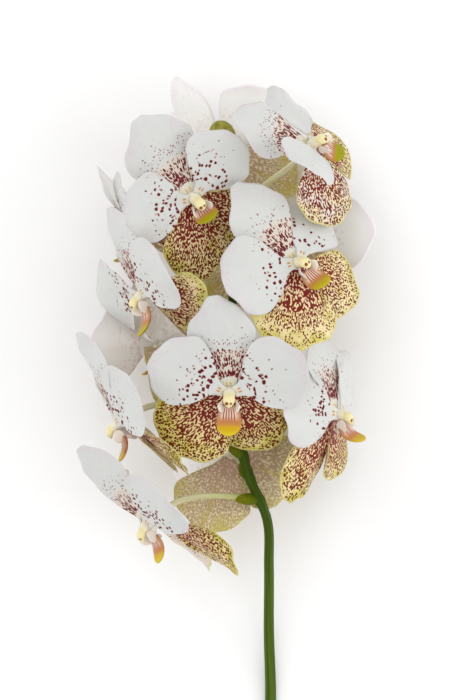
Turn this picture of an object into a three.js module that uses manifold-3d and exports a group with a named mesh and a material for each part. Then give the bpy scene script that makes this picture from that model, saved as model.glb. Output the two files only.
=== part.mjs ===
// A cut stem of a white spotted orchid, lying on a flat surface: a green stem with thirteen open
// blooms set round it and a closed bud at its tip. Millimetres, +Z up. The stem runs along Y, its
// cut end towards -Y. Every bloom has its own axes: X to its right, Y up, Z out of its face.
import * as THREE from 'three';
import { mergeVertices } from 'three/addons/utils/BufferGeometryUtils.js';
import Module from 'manifold-3d';

const wasm = await Module();
wasm.setup();

// Driving dimensions
const GAP = 0.3;            // clearance between pieces that touch on the real stem
const BLADE = 0.9;          // thickness of a petal or sepal
const ACROSS = 10;          // vein lines across a blade
const ALONG = 2;            // rows of points from its claw to its margin
const STEM = { base: 2.75, tip: 1.5, sides: 8, steps: 26 };
const PEDICEL = { radius: 1.5, sides: 5, steps: 7 };
const COLUMN = { foot: 3.2, waist: 2.1, cap: 2.5, back: -2.7, length: 7.2, nod: 0.36, sides: 7 };
const CUP = { front: -3.0, back: -7.5, rim: 1.6, radius: 3.0, neck: 1.6, sides: 6 };
const LIP = { length: 14, sides: 6, drop: -5.3, forward: 1.2, steepest: 50, arch: 80, rolled: 0.03 };
const LOBE = { across: 1.1, radius: 2.9, apart: 4.0, above: 0.3, ahead: 1.2 };
const SPUR = { radius: 1.6, length: 5, lean: -150, below: 1.6, behind: 1.2 };
const BUD = { length: 17, radius: 6.2, furrow: 0.1, sides: 12 };
// Shares of the bud's length and of its radius there, from the stem to the tip
const SHAPE_OF_BUD = [[0, 0.25], [0.12, 0.62], [0.35, 1], [0.62, 0.92], [0.85, 0.5], [1, 0.12]];
const BRACT = { length: 10, width: 5.6, thickness: 4.8, below: 2.4, sides: 6, rows: 4 };
const TABLE = 900;          // side of the block that stands for what the stem lies on

// Half-widths of a blade, in pairs of distance from the claw and half-width
const OUTLINE = {
  dorsal: [[0, 2.6], [8, 6.6], [17, 12.9], [25, 15.6], [33, 12.8], [40, 6.2], [43.6, 0]],
  petal: [[0, 2.4], [5, 4.4], [12, 13.0], [20, 18.2], [28, 16.2], [34.5, 9.0], [37, 0]],
  lateral: [[0, 3.0], [6, 6.6], [14, 14.6], [22, 18.7], [30, 15.4], [35.5, 7.8], [37.8, 0]],
};

// How the five blades of a bloom usually stand: angle from straight up (counter-clockwise), pitch
// towards the face, bend along the blade, curl across it, waved margin, and the claw's place
const BLADES = {
  dorsal: { kind: 'dorsal', angle: 0, pitch: 4, bend: -8, curl: -12, wave: 0.8, phase: 0.4,
    claw: [0, 2.0, -1.6] },
  left: { kind: 'petal', angle: 66, pitch: 6, bend: -10, curl: -10, wave: 1.4, phase: 0.9,
    claw: [-2.2, 0.8, 0.6] },
  right: { kind: 'petal', angle: -66, pitch: 6, bend: -10, curl: -10, wave: 1.4, phase: 2.2,
    claw: [2.2, 0.8, 0.6] },
  lowLeft: { kind: 'lateral', angle: 137, pitch: -2, bend: -6, curl: -14, wave: 1.0, phase: 0.2,
    claw: [-1.4, -1.4, -3.6] },
  lowRight: { kind: 'lateral', angle: -137, pitch: -6, bend: -6, curl: -14, wave: 1.0, phase: 1.6,
    claw: [1.4, -1.4, -4.6] },
};
const FOLDS = 3;            // waves round a margin, in half turns to each side
const GROOVE = 0.6;         // depth of the midrib's furrow
const GROOVE_WIDTH = 3;     // reach of the furrow to each side of the midrib

// The blooms: place of the column's foot, the way the face looks (turned to the right, tipped up),
// how far it is rolled counter-clockwise, the height on the stem that its stalk comes from, and
// what is its own about each blade and about its lip
const BLOOMS = [
  { name: 'front', at: [2, 15, 83], face: [-2, -18], roll: -1, stalk: 6,
    dorsal: { angle: 9, pitch: 5, long: 1.02 }, left: { angle: 63, pitch: 7, wide: 0.95 },
    right: { angle: -63, pitch: 9, long: 0.98 }, lowLeft: { pitch: -1, long: 1.04, wide: 1.1 },
    lowRight: { angle: -146, pitch: -15, long: 0.96 }, lip: { angle: 48 } },
  { name: 'upper_left', at: [-14, 103, 83], face: [27, -19], roll: 37, stalk: 86,
    dorsal: { angle: 4, pitch: -6, wide: 1.12 }, left: { angle: 67, pitch: 6, long: 0.88, wide: 0.93 },
    right: { angle: -61, pitch: 8, long: 0.9 }, lowLeft: { angle: 158, pitch: 14, wide: 0.91 },
    lowRight: { angle: -158, pitch: 3, wide: 0.9 }, lip: { angle: 10, long: 0.75 } },
  { name: 'upper_right', at: [33, 74, 82], face: [22, 12], roll: 37, stalk: 60,
    dorsal: { pitch: 5 }, left: { angle: 68, pitch: 5 },
    right: { angle: -62, pitch: -14, long: 0.88, wide: 0.88 },
    lowLeft: { angle: 140, pitch: 0, wide: 1.15 }, lowRight: { angle: -147, pitch: -16, wide: 0.9 },
    lip: { angle: 40 } },
  { name: 'left', at: [-38, 59, 73], face: [-64, -26], roll: 12, stalk: 48,
    dorsal: { angle: -4, pitch: -3, long: 0.93, wide: 1.1 }, left: { angle: 75, pitch: 8 },
    right: { angle: -78, pitch: 1 }, lowLeft: { angle: 134, pitch: -25 },
    lowRight: { angle: -135, pitch: -19, long: 0.92 }, lip: { angle: 35, long: 1.1 } },
  { name: 'lower_left', at: [-49, 1, 59], face: [-87, -32], roll: -9, stalk: -14,
    dorsal: { pitch: -4, twist: 12 }, left: { angle: 84, pitch: -4 }, right: { angle: -60, pitch: -21 },
    lowLeft: { angle: 152, pitch: -10 }, lowRight: { angle: -155, pitch: -14 }, lip: { angle: 40 } },
  { name: 'bottom', at: [-36, -46, 57], face: [-54, -37], roll: 16, stalk: -34, rise: 0.05,
    dorsal: { angle: 4, pitch: 4, long: 1.04, twist: 12 }, left: { pitch: -32 },
    right: { angle: -72, pitch: 5 },
    lowLeft: { angle: 150, pitch: -32, bend: 20, long: 1.25, wide: 0.5 },
    lowRight: { angle: -148, pitch: -20, bend: 30, long: 1.25, wide: 0.65 }, lip: { angle: 48 } },
  { name: 'right', at: [52, 5, 54], face: [62, 0], roll: 16, stalk: -4,
    dorsal: { angle: -7, pitch: -8, long: 0.91, wide: 1.05 }, left: { angle: 65, pitch: -14, long: 0.95 },
    right: { angle: -50, pitch: -6, wide: 0.7 },
    lowLeft: { angle: 142, pitch: -17, long: 1.15, wide: 0.88 }, lowRight: { angle: -146, pitch: -8 },
    lip: { angle: 20 } },
  { name: 'top_right', at: [40, 128, 71], face: [36, 31], roll: 66, stalk: 97,
    dorsal: { angle: 8, pitch: 7, long: 0.95 }, left: { angle: 71, pitch: 30, wide: 0.82 },
    right: { angle: -58, pitch: -9, long: 0.95, wide: 0.55 },
    lowLeft: { angle: 131, pitch: -17, long: 0.93 }, lowRight: { angle: -134, pitch: -18 },
    lip: { angle: 70, long: 0.8 } },
  { name: 'back_right', at: [34, 84, 24], face: [153, 0], roll: 10, stalk: 71,
    right: { pitch: 22 }, lowRight: { angle: -127, long: 1.28 }, lip: { angle: 20 } },
  { name: 'back_bottom', at: [3, -15, 24], face: [178, -10], roll: -22, stalk: -24,
    dorsal: { angle: 22, pitch: -6, long: 0.84, wide: 0.8 }, right: { pitch: 45, wide: 0.7 },
    lowLeft: { long: 0.86 }, lip: { angle: 20 } },
  { name: 'back_left', at: [-32, 36, 24], face: [-128, -4], roll: -20, stalk: 24,
    dorsal: { long: 0.8 }, right: { angle: -64, pitch: 26, long: 0.88 },
    lowLeft: { pitch: -20 }, lowRight: { angle: -115, pitch: -20 }, lip: { angle: 20 } },
  { name: 'back_high', at: [-43, 88, 36], face: [-105, -30], roll: 0, stalk: 78, dorsal: { long: 0.8 },
    lowLeft: { pitch: -28 }, lowRight: { pitch: -44 }, right: { pitch: -20 }, lip: { angle: -10 } },
  { name: 'back_top', at: [-2, 126, 27], face: [170, 20], roll: -24, stalk: 112,
    dorsal: { wide: 0.55, long: 0.93, angle: -4 }, right: { pitch: 36 }, lip: { angle: 20 } },
];

// Half-widths and half-depths of the lip's tongue, from its throat to its tip
const TONGUE = [[3.0, 1.5], [4.2, 1.5], [5.2, 1.3], [5.8, 1.0], [5.6, 0.8], [3.2, 0.5]];

// The stem's line from the cut end to the tip
const STEM_LINE = [[20.5, -163, 2.4], [21.5, -130, 2.4], [20.6, -99, 10], [20.4, -66, 29],
  [19.4, -44, 41], [10.5, -22, 49], [5, 6, 51], [3, 44, 51], [5, 76, 51], [6.5, 100, 51],
  [5, 114, 51], [1.8, 123.5, 51]];

const COLOURS = {
  petals: { color: 0xeceef2, roughness: 0.55, metalness: 0 },
  sepals: { color: 0xc9b36a, roughness: 0.6, metalness: 0 },
  lip: { color: 0xe5b08a, roughness: 0.5, metalness: 0 },
  pedicel: { color: 0xd9e0bf, roughness: 0.5, metalness: 0 },
  stem: { color: 0x3f6b2c, roughness: 0.5, metalness: 0 },
  bud: { color: 0x7f8440, roughness: 0.55, metalness: 0 },
};

const rad = THREE.MathUtils.degToRad;
const { clamp } = THREE.MathUtils;

// Solids: a closed mesh as a solid to join and cut, and back again
function solid(geometry) {
  const bare = new THREE.BufferGeometry();
  bare.setAttribute('position', geometry.attributes.position);
  bare.setIndex(geometry.index);
  const merged = mergeVertices(bare, 1e-4);
  const index = merged.index.array;
  const kept = [];
  for (let i = 0; i < index.length; i += 3) {
    const [a, b, c] = [index[i], index[i + 1], index[i + 2]];
    if (a !== b && b !== c && c !== a) kept.push(a, b, c);
  }
  return new wasm.Manifold(new wasm.Mesh({
    numProp: 3,
    vertProperties: new Float32Array(merged.attributes.position.array),
    triVerts: new Uint32Array(kept),
  }));
}

function geometryOf(manifold) {
  const mesh = manifold.getMesh();
  const geometry = new THREE.BufferGeometry();
  geometry.setAttribute('position', new THREE.BufferAttribute(new Float32Array(mesh.vertProperties), 3));
  geometry.setIndex(new THREE.BufferAttribute(new Uint32Array(mesh.triVerts), 1));
  geometry.computeVertexNormals();
  return geometry;
}

function piece(name, manifold, look) {
  const mesh = new THREE.Mesh(geometryOf(manifold), new THREE.MeshStandardMaterial(COLOURS[look]));
  mesh.name = name;
  return mesh;
}

// A closed skin over rings of points, each ring with the same count, ends closed by a fan
function skin(rings) {
  const points = rings.flat();
  const n = rings[0].length;
  const index = [];
  for (let j = 0; j < rings.length - 1; j++) {
    for (let i = 0; i < n; i++) {
      const [a, b] = [j * n + i, j * n + (i + 1) % n];
      index.push(a, b, b + n, a, b + n, a + n);
    }
  }
  const last = (rings.length - 1) * n;
  for (let i = 1; i < n - 1; i++) index.push(0, i + 1, i, last, last + i, last + i + 1);
  const geometry = new THREE.BufferGeometry().setFromPoints(points);
  geometry.setIndex(index);
  return geometry;
}

// Outline of a blade: its margin from claw corner to claw corner, and its half-width anywhere
function outlineOf(kind) {
  const half = OUTLINE[kind].map(([x, y]) => new THREE.Vector2(x, y));
  const mirrored = half.slice(0, -1).reverse().map((p) => new THREE.Vector2(p.x, -p.y));
  const curve = new THREE.SplineCurve([...half, ...mirrored]);
  const fine = curve.getSpacedPoints(160);
  const halfWidth = (x) => {
    const k = fine.findIndex((p) => p.x >= x);
    if (k <= 0) return fine[0].y;
    const [a, b] = [fine[k - 1], fine[k]];
    return a.y + (b.y - a.y) * (x - a.x) / (b.x - a.x);
  };
  const margin = curve.getSpacedPoints(ACROSS);
  const length = half[half.length - 1].x;
  const widest = Math.max(...half.map((p) => p.y));
  return { margin, halfWidth, length, widest };
}
const OUTLINES = Object.fromEntries(Object.keys(OUTLINE).map((kind) => [kind, outlineOf(kind)]));

// Flat place of a point of a blade: on vein line f, from -1 to 1, at the share q of its way out
function flatPoint(kind, i, q) {
  const { margin, halfWidth } = OUTLINES[kind];
  const f = 1 - 2 * i / ACROSS;
  const x = Math.max(margin[i].x, 0) * q;
  const spread = q === 0 ? 0 : f + (Math.sign(f) - f) * q ** 2.2;
  const y = q === 1 ? margin[i].y : spread * halfWidth(x);
  return { x, y, f };
}

// The same point on the blade as it stands in its bloom, lifted off its middle surface
function bladePoint(blade, i, q, lift) {
  const { length, widest } = OUTLINES[blade.kind];
  const flat = flatPoint(blade.kind, i, q);
  const { long = 1, wide = 1, pitch, bend, curl, wave, phase, twist = 0 } = blade;
  const t = clamp(flat.x / length, 0, 1);
  const y = flat.y * wide;
  // along the blade: an arc from the pitch at the claw
  const turn = rad(bend);
  const start = rad(pitch);
  const slope = start + turn * t;
  const arc = length * long / turn;
  const reach = arc * (Math.sin(slope) - Math.sin(start));
  const rise = arc * (Math.cos(start) - Math.cos(slope));
  // across it: a shallow trough, a furrow over the midrib, and the waved margin
  const radius = widest * wide / rad(curl);
  const side = radius * Math.sin(y / radius);
  const furrow = GROOVE * Math.exp(-((y / GROOVE_WIDTH) ** 2)) * clamp(4 * t, 0, 1) * Math.sqrt(1 - t);
  const waved = wave * q ** 3 * clamp(3 * t, 0, 1) * Math.sin(Math.PI * FOLDS * flat.f + phase);
  const height = radius * (1 - Math.cos(y / radius)) + waved - furrow + lift;
  const angle = rad(blade.angle);
  const out = new THREE.Vector3(0, 0, 1);
  const ahead = new THREE.Vector3(-Math.sin(angle), Math.cos(angle), 0);
  const across = new THREE.Vector3().crossVectors(out, ahead);
  const normal = ahead.clone().multiplyScalar(-Math.sin(slope)).addScaledVector(out, Math.cos(slope));
  // the twist turns the across and normal directions about the blade's own line
  const [c, s] = [Math.cos(rad(twist) * t), Math.sin(rad(twist) * t)];
  return new THREE.Vector3(...blade.claw)
    .addScaledVector(ahead, reach).addScaledVector(out, rise)
    .addScaledVector(across, side * c - height * s).addScaledVector(normal, side * s + height * c);
}

// A blade as one closed solid: two like faces, split into the same triangles, and a rim
function blade(bloom, part) {
  const own = { ...BLADES[part], ...bloom[part] };
  const points = [];
  for (const lift of [-BLADE / 2, BLADE / 2]) {
    for (let j = 0; j <= ALONG; j++) {
      for (let i = 0; i <= ACROSS; i++) points.push(bladePoint(own, i, j / ALONG, lift));
    }
  }
  const n = ACROSS + 1;
  const under = n * (ALONG + 1);
  const index = [];
  for (let j = 0; j < ALONG; j++) {
    for (let i = 0; i < ACROSS; i++) {
      const [a, b] = [j * n + i, j * n + i + 1];
      index.push(a, b + n, b, a, a + n, b + n);
      index.push(under + a, under + b, under + b + n, under + a, under + b + n, under + a + n);
    }
  }
  const wall = (a, b) => index.push(a, under + b, b, a, under + a, under + b);
  for (let i = 0; i < ACROSS; i++) wall(n * ALONG + i, n * ALONG + i + 1);
  wall(ACROSS + n, ACROSS);
  wall(0, n);
  const geometry = new THREE.BufferGeometry().setFromPoints(points);
  geometry.setIndex(index);
  return solid(geometry);
}

// A turned piece from a profile of pairs of radius and distance along the bloom's Z
function turned(profile, sides) {
  const geometry = new THREE.LatheGeometry(profile.map(([r, z]) => new THREE.Vector2(r, z)), sides);
  return geometry.rotateX(Math.PI / 2);
}

// The column: a foot that carries the petals, a waist, and the cap, which nods forward
function column() {
  const { foot, waist, cap, back, length, nod, sides } = COLUMN;
  const geometry = turned([[0, back], [foot, back], [foot, 0.9], [waist, 2.2], [cap, 5.0],
    [cap * 0.7, length], [0, length]], sides);
  const place = geometry.attributes.position;
  for (let i = 0; i < place.count; i++) {
    const z = place.getZ(i);
    if (z > 1) place.setY(i, place.getY(i) - nod * (z - 1));
  }
  return solid(geometry);
}

// The cup at the stalk's end that carries the lower sepals
function cup() {
  const { front, back, rim, radius, neck, sides } = CUP;
  return solid(turned([[0, back], [neck, back], [radius, front - rim], [radius, front], [0, front]], sides));
}

// The lip: a tongue that widens and arches forward, its two side lobes and the short spur
function lip({ angle, long = 1 }) {
  const { length, sides, drop, forward, steepest, arch, rolled } = LIP;
  const steps = TONGUE.length - 1;
  const place = new THREE.Vector3(0, drop, forward);
  const rings = [];
  TONGUE.forEach(([halfWidth, halfDepth], j) => {
    const slope = rad(angle + steepest - arch * j / steps);
    const up = new THREE.Vector3(0, Math.cos(slope), Math.sin(slope));
    const ring = [];
    for (let i = 0; i < sides; i++) {
      const a = 2 * Math.PI * i / sides;
      const x = halfWidth * Math.cos(a);
      const lifted = halfDepth * Math.sin(a) + rolled * x * x * j / steps;
      ring.push(place.clone().addScaledVector(up, lifted).setX(x));
    }
    rings.push(ring);
    place.add(new THREE.Vector3(0, -Math.sin(slope), Math.cos(slope)).multiplyScalar(length * long / steps));
  });
  let whole = solid(skin(rings));
  for (const sideways of [-1, 1]) {
    const lobe = new THREE.SphereGeometry(LOBE.radius, 5, 3).scale(LOBE.across / LOBE.radius, 1, 1)
      .translate(sideways * LOBE.apart, drop + LOBE.above, forward + LOBE.ahead);
    whole = whole.add(solid(lobe));
  }
  const spur = new THREE.ConeGeometry(SPUR.radius, SPUR.length, 6).rotateX(rad(SPUR.lean))
    .translate(0, drop - SPUR.below, forward - SPUR.behind);
  return whole.add(solid(spur));
}

// A round rod along a curve, its radius a function of the share of the way
function rod(curve, radiusAt, sides, steps) {
  const frames = curve.computeFrenetFrames(steps, false);
  const rings = [];
  for (let j = 0; j <= steps; j++) {
    const centre = curve.getPointAt(j / steps);
    const ring = [];
    for (let i = 0; i < sides; i++) {
      const a = 2 * Math.PI * i / sides;
      ring.push(centre.clone()
        .addScaledVector(frames.normals[j], radiusAt(j / steps) * Math.cos(a))
        .addScaledVector(frames.binormals[j], radiusAt(j / steps) * Math.sin(a)));
    }
    rings.push(ring);
  }
  return skin(rings);
}

const stemCurve = new THREE.CatmullRomCurve3(STEM_LINE.map((p) => new THREE.Vector3(...p)));
const stemRadius = (u) => STEM.base + (STEM.tip - STEM.base) * u;

// The place on the stem's middle line at a height along Y
function onStem(y) {
  let [low, high] = [0, 1];
  for (let k = 0; k < 30; k++) {
    const middle = (low + high) / 2;
    if (stemCurve.getPointAt(middle).y < y) low = middle; else high = middle;
  }
  return stemCurve.getPointAt(low);
}

// The bloom's own axes in the stem's
function standing(bloom) {
  const [yaw, tip] = bloom.face.map(rad);
  const out = new THREE.Vector3(Math.sin(yaw) * Math.cos(tip), Math.sin(tip), Math.cos(yaw) * Math.cos(tip));
  const up = new THREE.Vector3(0, 1, 0).addScaledVector(out, -out.y).normalize();
  up.applyAxisAngle(out, rad(bloom.roll));
  const right = new THREE.Vector3().crossVectors(up, out);
  return new THREE.Matrix4().makeBasis(right, up, out).setPosition(...bloom.at);
}

// The line of a stalk, from the back of a bloom's cup to the stem's middle
function stalkCurve(bloom, matrix) {
  const start = new THREE.Vector3(0, 0, CUP.back - GAP).applyMatrix4(matrix);
  const back = new THREE.Vector3(0, 0, -1).transformDirection(matrix);
  const foot = onStem(bloom.stalk);
  const span = start.distanceTo(foot);
  const rise = new THREE.Vector3(0, (bloom.rise ?? 0.15) * span, 0);
  return new THREE.CubicBezierCurve3(start, start.clone().addScaledVector(back, 0.45 * span),
    foot.clone().lerp(start, 0.3).add(rise), foot);
}

function stalk(curve, clearance = 0) {
  const { radius, sides, steps } = PEDICEL;
  return solid(rod(curve, () => radius + clearance, sides, steps));
}

// The plump scale on the stem below a stalk, pointing the way the stalk does
function bract(curve) {
  const { length, width, thickness, below, sides, rows } = BRACT;
  const away = curve.getTangentAt(1).negate();
  const along = new THREE.Vector3(0, 1, 0);
  const sideways = along.clone().cross(away);
  const place = curve.getPointAt(1).addScaledVector(along, -below / sideways.length());
  sideways.normalize();
  const geometry = new THREE.SphereGeometry(0.5, sides, rows).translate(0, 0.5, 0)
    .scale(width, length, thickness);
  const matrix = new THREE.Matrix4().makeBasis(sideways, away, sideways.clone().cross(away));
  return solid(geometry.applyMatrix4(matrix.setPosition(place)));
}

// The closed bud at the stem's tip, with three shallow furrows where its sepals meet
function bud() {
  const { length, radius, furrow, sides } = BUD;
  const tangent = stemCurve.getTangentAt(1);
  const across = new THREE.Vector3(0, 0, 1).cross(tangent).normalize();
  const up = new THREE.Vector3().crossVectors(tangent, across);
  const rings = [];
  for (const [along, wide] of SHAPE_OF_BUD) {
    const centre = stemCurve.getPointAt(1).addScaledVector(tangent, GAP + along * length);
    const ring = [];
    for (let i = 0; i < sides; i++) {
      const a = 2 * Math.PI * i / sides;
      const r = radius * wide * (1 - furrow * Math.cos(3 * a));
      ring.push(centre.clone()
        .addScaledVector(across, r * Math.cos(a)).addScaledVector(up, r * Math.sin(a)));
    }
    rings.push(ring);
  }
  return solid(skin(rings));
}

// What is left of a solid above the surface that the stem lies on, in the solid's own axes
function aboveTable(manifold, matrix) {
  const under = new THREE.BoxGeometry(TABLE, TABLE, TABLE).translate(0, 0, -TABLE / 2);
  return manifold.subtract(solid(under.applyMatrix4(matrix.clone().invert())));
}

const orchid = new THREE.Group();
const stalkCurves = new Map(BLOOMS.map((bloom) => [bloom, stalkCurve(bloom, standing(bloom))]));
const stalkSleeves = [...stalkCurves.values()].map((curve) => stalk(curve, GAP))
  .reduce((all, sleeve) => all.add(sleeve));
const stemSleeve = solid(rod(stemCurve, (u) => stemRadius(u) + GAP, STEM.sides, STEM.steps));
let stem = solid(rod(stemCurve, stemRadius, STEM.sides, STEM.steps));
for (const curve of stalkCurves.values()) stem = stem.add(bract(curve).subtract(stalkSleeves));

for (const bloom of BLOOMS) {
  const matrix = standing(bloom);
  const group = new THREE.Group();
  group.applyMatrix4(matrix);
  const white = blade(bloom, 'dorsal').add(blade(bloom, 'left')).add(blade(bloom, 'right')).add(column());
  const spotted = blade(bloom, 'lowLeft').add(blade(bloom, 'lowRight')).add(cup());
  group.add(piece(`${bloom.name}_petals`, aboveTable(white, matrix), 'petals'));
  group.add(piece(`${bloom.name}_sepals`, aboveTable(spotted, matrix), 'sepals'));
  group.add(piece(`${bloom.name}_lip`, lip(bloom.lip), 'lip'));
  orchid.add(group);
  const cut = stalk(stalkCurves.get(bloom)).subtract(stemSleeve);
  orchid.add(piece(`${bloom.name}_stalk`, cut, 'pedicel'));
}
orchid.add(piece('stem', aboveTable(stem, new THREE.Matrix4()), 'stem'), piece('bud', bud(), 'bud'));

export default orchid;
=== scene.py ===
# %% [markdown]
# # A cut stem of a spotted orchid, in Blender
# The real thing is a flower stem 5 mm thick that carries a column of flat blooms, each on its own
# short stalk. It has been laid on a table, and we look down on it. The imported model is loaded
# first, because each piece below takes the place of one of its plain solids.

# %% Load the frame
import math
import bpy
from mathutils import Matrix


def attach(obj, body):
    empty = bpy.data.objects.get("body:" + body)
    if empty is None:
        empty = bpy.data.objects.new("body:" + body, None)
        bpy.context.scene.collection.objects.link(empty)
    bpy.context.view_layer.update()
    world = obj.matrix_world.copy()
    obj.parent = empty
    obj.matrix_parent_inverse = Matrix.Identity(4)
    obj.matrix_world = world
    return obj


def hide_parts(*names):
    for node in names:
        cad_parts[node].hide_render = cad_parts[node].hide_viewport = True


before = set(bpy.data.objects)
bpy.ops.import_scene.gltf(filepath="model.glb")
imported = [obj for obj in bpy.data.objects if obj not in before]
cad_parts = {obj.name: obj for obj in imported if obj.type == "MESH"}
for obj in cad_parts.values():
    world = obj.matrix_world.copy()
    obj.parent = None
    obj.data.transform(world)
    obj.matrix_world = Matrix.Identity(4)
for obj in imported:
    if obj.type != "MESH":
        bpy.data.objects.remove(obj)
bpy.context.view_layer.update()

from types import SimpleNamespace

import bmesh
import bpy
import numpy as np
from mathutils import Matrix, Vector

MM = 0.001  # the tables below are in millimetres, Blender's objects are in metres

# %% [markdown]
# ## Where the blooms stand
# A bloom has five blades: the upper sepal, two petals beside it and two broad lower sepals. All
# blooms have the same three outlines, but no two hold their blades alike, so the table gives each
# bloom its place, the way its face looks, how far it is rolled, and what is its own about each
# blade. Angles are in degrees and counter-clockwise from the bloom's own top.

# %% The outlines: pairs of distance from the claw and half-width
OUTLINE = {
    "dorsal": [(0, 2.6), (8, 6.6), (17, 12.9), (25, 15.6), (33, 12.8), (40, 6.2), (43.6, 0)],
    "petal": [(0, 2.4), (5, 4.4), (12, 13.0), (20, 18.2), (28, 16.2), (34.5, 9.0), (37, 0)],
    "lateral": [(0, 3.0), (6, 6.6), (14, 14.6), (22, 18.7), (30, 15.4), (35.5, 7.8), (37.8, 0)],
}

# %% How the five blades of a bloom usually stand
BLADES = {
    "dorsal": dict(kind="dorsal", angle=0, pitch=4, bend=-8, curl=-12, wave=0.8, phase=0.4,
                   claw=(0, 2.0, -1.6)),
    "left": dict(kind="petal", angle=66, pitch=6, bend=-10, curl=-10, wave=1.4, phase=0.9,
                 claw=(-2.2, 0.8, 0.6)),
    "right": dict(kind="petal", angle=-66, pitch=6, bend=-10, curl=-10, wave=1.4, phase=2.2,
                  claw=(2.2, 0.8, 0.6)),
    "lowLeft": dict(kind="lateral", angle=137, pitch=-2, bend=-6, curl=-14, wave=1.0, phase=0.2,
                    claw=(-1.4, -1.4, -3.6)),
    "lowRight": dict(kind="lateral", angle=-137, pitch=-6, bend=-6, curl=-14, wave=1.0, phase=1.6,
                     claw=(1.4, -1.4, -4.6)),
}

# %% The thirteen blooms
BLOOMS = [
    dict(name="front", at=(2, 15, 83), face=(-2, -18), roll=-1, stalk=6,
         dorsal=dict(angle=9, pitch=5, long=1.02), left=dict(angle=63, pitch=7, wide=0.95),
         right=dict(angle=-63, pitch=9, long=0.98), lowLeft=dict(pitch=-1, long=1.04, wide=1.1),
         lowRight=dict(angle=-146, pitch=-15, long=0.96), lip=dict(angle=48, long=1.1)),
    dict(name="upper_left", at=(-14, 103, 83), face=(27, -19), roll=37, stalk=86,
         dorsal=dict(angle=4, pitch=-6, wide=1.12),
         left=dict(angle=67, pitch=6, long=0.88, wide=0.93),
         right=dict(angle=-61, pitch=8, long=0.86), lowLeft=dict(angle=158, pitch=14, wide=0.91),
         lowRight=dict(angle=-158, pitch=3, wide=0.9), lip=dict(angle=10, long=0.75)),
    dict(name="upper_right", at=(33, 74, 82), face=(22, 12), roll=37, stalk=60,
         dorsal=dict(pitch=5), left=dict(angle=68, pitch=5),
         right=dict(angle=-62, pitch=-14, long=0.88, wide=0.88),
         lowLeft=dict(angle=140, pitch=0, wide=1.15),
         lowRight=dict(angle=-147, pitch=-16, wide=0.9), lip=dict(angle=40)),
    dict(name="left", at=(-38, 59, 73), face=(-64, -26), roll=12, stalk=48,
         dorsal=dict(angle=-4, pitch=-3, long=0.93, wide=1.1), left=dict(angle=75, pitch=8),
         right=dict(angle=-78, pitch=1), lowLeft=dict(angle=134, pitch=-25),
         lowRight=dict(angle=-135, pitch=-19, long=0.92), lip=dict(angle=35, long=1.1)),
    dict(name="lower_left", at=(-49, 1, 59), face=(-87, -32), roll=-9, stalk=-14,
         dorsal=dict(pitch=-4, twist=24), left=dict(angle=84, pitch=-4),
         right=dict(angle=-60, pitch=-21, curl=10, wave=0.5), lowLeft=dict(angle=152, pitch=-10),
         lowRight=dict(angle=-155, pitch=-14), lip=dict(angle=40)),
    dict(name="bottom", at=(-36, -46, 57), face=(-54, -37), roll=16, stalk=-34, rise=0.05,
         dorsal=dict(angle=4, pitch=4, long=1.04, twist=12), left=dict(pitch=-32),
         right=dict(angle=-72, pitch=5),
         lowLeft=dict(angle=150, pitch=-32, bend=20, long=1.25, wide=0.5),
         lowRight=dict(angle=-148, pitch=-20, bend=30, long=1.25, wide=0.65), lip=dict(angle=48)),
    dict(name="right", at=(52, 5, 54), face=(62, 0), roll=16, stalk=-4,
         dorsal=dict(angle=-7, pitch=-8, long=0.91, wide=1.05, curl=8),
         left=dict(angle=65, pitch=-14, long=0.95), right=dict(angle=-60, pitch=-9, wide=0.7),
         lowLeft=dict(angle=142, pitch=-17, long=1.15, wide=0.88),
         lowRight=dict(angle=-146, pitch=-8), lip=dict(angle=20)),
    dict(name="top_right", at=(40, 128, 71), face=(36, 31), roll=66, stalk=97,
         dorsal=dict(angle=8, pitch=7, long=0.95), left=dict(angle=71, pitch=30, wide=0.82),
         right=dict(angle=-58, pitch=-9, long=0.95, wide=0.55),
         lowLeft=dict(angle=131, pitch=-17, long=0.93), lowRight=dict(angle=-134, pitch=-18),
         lip=dict(angle=70, long=0.8)),
    dict(name="back_right", at=(34, 84, 24), face=(153, 0), roll=10, stalk=71,
         right=dict(pitch=22), lowRight=dict(angle=-127, long=1.28), lip=dict(angle=20)),
    dict(name="back_bottom", at=(3, -15, 24), face=(178, -10), roll=-22, stalk=-24,
         dorsal=dict(angle=22, pitch=-6, long=0.84, wide=0.8), right=dict(pitch=45, wide=0.7),
         lowLeft=dict(long=0.86), lip=dict(angle=20)),
    dict(name="back_left", at=(-32, 36, 24), face=(-128, -4), roll=-20, stalk=24,
         dorsal=dict(long=0.8), right=dict(angle=-64, pitch=26, long=0.88),
         lowLeft=dict(pitch=-20), lowRight=dict(angle=-115, pitch=-20), lip=dict(angle=20)),
    dict(name="back_high", at=(-43, 88, 36), face=(-105, -30), roll=0, stalk=78,
         dorsal=dict(long=0.8), lowLeft=dict(pitch=-28), lowRight=dict(pitch=-44),
         right=dict(pitch=-20), lip=dict(angle=-10)),
    dict(name="back_top", at=(-2, 126, 27), face=(170, 20), roll=-24, stalk=112,
         dorsal=dict(wide=0.55, long=0.93, angle=-4), right=dict(pitch=36), lip=dict(angle=20)),
]
print("blooms:", len(BLOOMS))

# %% [markdown]
# On one stem the blooms open one after another, so they differ in age, and with it in colour: the
# lower sepals of the front bloom have turned yellow, those above are still cream. Three numbers
# say this: how yellow the lower sepals are, by how much their marks cover more than usual, and how
# green the lip's tip is. A blade that differs from its own bloom has a line of its own. On a petal
# a cover below -0.6 leaves the blade bare.

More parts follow.
